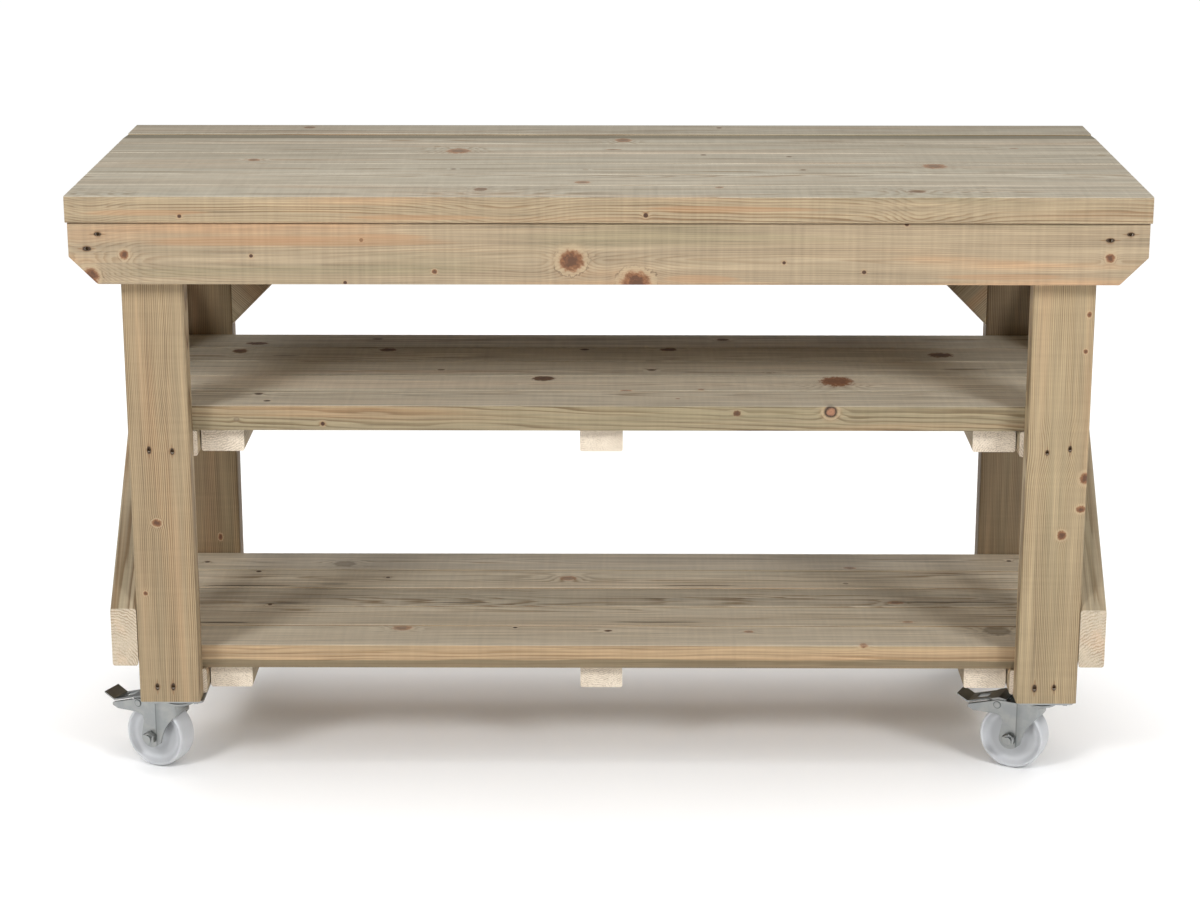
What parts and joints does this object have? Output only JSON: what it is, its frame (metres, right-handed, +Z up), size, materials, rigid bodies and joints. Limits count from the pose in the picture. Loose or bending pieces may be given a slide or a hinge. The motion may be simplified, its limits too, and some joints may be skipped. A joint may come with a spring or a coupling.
{
  "type": "mobile workbench",
  "caption": "Softwood workbench on braked swivel casters, with a boarded worktop, boarded shelves on bearers, and diagonal braces.",
  "frame": {"origin": "on the floor under the middle of the worktop", "axes": "+X along the bench to the right, +Y to the rear, +Z up"},
  "size_m": [1.528, 0.629, 0.895],
  "materials": {
    "softwood": "planed pressure-treated softwood",
    "zinc_steel": "bright zinc plating",
    "white_nylon": "satin moulded nylon"
  },
  "bodies": {
    "bench": {"top_board_1": "softwood", "top_board_2": "softwood", "top_board_3": "softwood", "top_board_4": "softwood", "top_board_5": "softwood", "top_board_6": "softwood", "top_board_7": "softwood", "front_apron": "softwood", "rear_apron": "softwood", "left_end_rail": "softwood", "right_end_rail": "softwood", "top_batten": "softwood", "front_left_leg": "softwood", "front_right_leg": "softwood", "rear_left_leg": "softwood", "rear_right_leg": "softwood", "lower_left_rail": "softwood", "lower_right_rail": "softwood", "lower_shelf_board_1": "softwood", "lower_shelf_board_2": "softwood", "lower_shelf_board_3": "softwood", "lower_shelf_board_4": "softwood", "lower_shelf_board_5": "softwood", "lower_left_bearer": "softwood", "lower_centre_bearer": "softwood", "lower_right_bearer": "softwood", "upper_left_rail": "softwood", "upper_right_rail": "softwood", "upper_shelf_board_1": "softwood", "upper_shelf_board_2": "softwood", "upper_shelf_board_3": "softwood", "upper_shelf_board_4": "softwood", "upper_shelf_board_5": "softwood", "upper_left_bearer": "softwood", "upper_centre_bearer": "softwood", "upper_right_bearer": "softwood", "left_brace": "softwood", "right_brace": "softwood", "left_knee_brace": "softwood", "right_knee_brace": "softwood", "front_left_caster_plate": "zinc_steel", "front_right_caster_plate": "zinc_steel", "rear_left_caster_plate": "zinc_steel", "rear_right_caster_plate": "zinc_steel"},
    "front_left_caster_swivel": {"front_left_caster_fork": "zinc_steel", "front_left_caster_axle": "zinc_steel"},
    "front_left_caster_wheel": {"front_left_caster_wheel": "white_nylon"},
    "front_left_caster_pedal": {"front_left_caster_pedal": "zinc_steel"},
    "front_right_caster_swivel": {"front_right_caster_fork": "zinc_steel", "front_right_caster_axle": "zinc_steel"},
    "front_right_caster_wheel": {"front_right_caster_wheel": "white_nylon"},
    "front_right_caster_pedal": {"front_right_caster_pedal": "zinc_steel"},
    "rear_left_caster_swivel": {"rear_left_caster_fork": "zinc_steel", "rear_left_caster_axle": "zinc_steel"},
    "rear_left_caster_wheel": {"rear_left_caster_wheel": "white_nylon"},
    "rear_left_caster_pedal": {"rear_left_caster_pedal": "zinc_steel"},
    "rear_right_caster_swivel": {"rear_right_caster_fork": "zinc_steel", "rear_right_caster_axle": "zinc_steel"},
    "rear_right_caster_wheel": {"rear_right_caster_wheel": "white_nylon"},
    "rear_right_caster_pedal": {"rear_right_caster_pedal": "zinc_steel"}
  },
  "joints": [
    {"name": "front_left_caster_swivel", "type": "hinge", "parent": "bench", "child": "front_left_caster_swivel", "pos_m": [-0.645, -0.2145, 0.115], "axis": [0, 0, 1], "continuous": true},
    {"name": "front_left_caster_roll", "type": "hinge", "parent": "front_left_caster_swivel", "child": "front_left_caster_wheel", "pos_m": [-0.67944, -0.19844, 0.05], "axis": [-0.4226, -0.9063, 0], "continuous": true},
    {"name": "front_left_caster_brake", "type": "hinge", "parent": "front_left_caster_swivel", "child": "front_left_caster_pedal", "pos_m": [-0.69826, -0.18966, 0.1014], "axis": [0.4226, 0.9063, 0], "range_deg": [0, 15]},
    {"name": "front_right_caster_swivel", "type": "hinge", "parent": "bench", "child": "front_right_caster_swivel", "pos_m": [0.651, -0.2145, 0.115], "axis": [0, 0, 1], "continuous": true},
    {"name": "front_right_caster_roll", "type": "hinge", "parent": "front_right_caster_swivel", "child": "front_right_caster_wheel", "pos_m": [0.61656, -0.19844, 0.05], "axis": [-0.4226, -0.9063, 0], "continuous": true},
    {"name": "front_right_caster_brake", "type": "hinge", "parent": "front_right_caster_swivel", "child": "front_right_caster_pedal", "pos_m": [0.59774, -0.18966, 0.1014], "axis": [0.4226, 0.9063, 0], "range_deg": [0, 15]},
    {"name": "rear_left_caster_swivel", "type": "hinge", "parent": "bench", "child": "rear_left_caster_swivel", "pos_m": [-0.645, 0.1997, 0.115], "axis": [0, 0, 1], "continuous": true},
    {"name": "rear_left_caster_roll", "type": "hinge", "parent": "rear_left_caster_swivel", "child": "rear_left_caster_wheel", "pos_m": [-0.67944, 0.21576, 0.05], "axis": [-0.4226, -0.9063, 0], "continuous": true},
    {"name": "rear_left_caster_brake", "type": "hinge", "parent": "rear_left_caster_swivel", "child": "rear_left_caster_pedal", "pos_m": [-0.69826, 0.22454, 0.1014], "axis": [0.4226, 0.9063, 0], "range_deg": [0, 15]},
    {"name": "rear_right_caster_swivel", "type": "hinge", "parent": "bench", "child": "rear_right_caster_swivel", "pos_m": [0.651, 0.1997, 0.115], "axis": [0, 0, 1], "continuous": true},
    {"name": "rear_right_caster_roll", "type": "hinge", "parent": "rear_right_caster_swivel", "child": "rear_right_caster_wheel", "pos_m": [0.61656, 0.21576, 0.05], "axis": [-0.4226, -0.9063, 0], "continuous": true},
    {"name": "rear_right_caster_brake", "type": "hinge", "parent": "rear_right_caster_swivel", "child": "rear_right_caster_pedal", "pos_m": [0.59774, 0.22454, 0.1014], "axis": [0.4226, 0.9063, 0], "range_deg": [0, 15]}
  ]
}
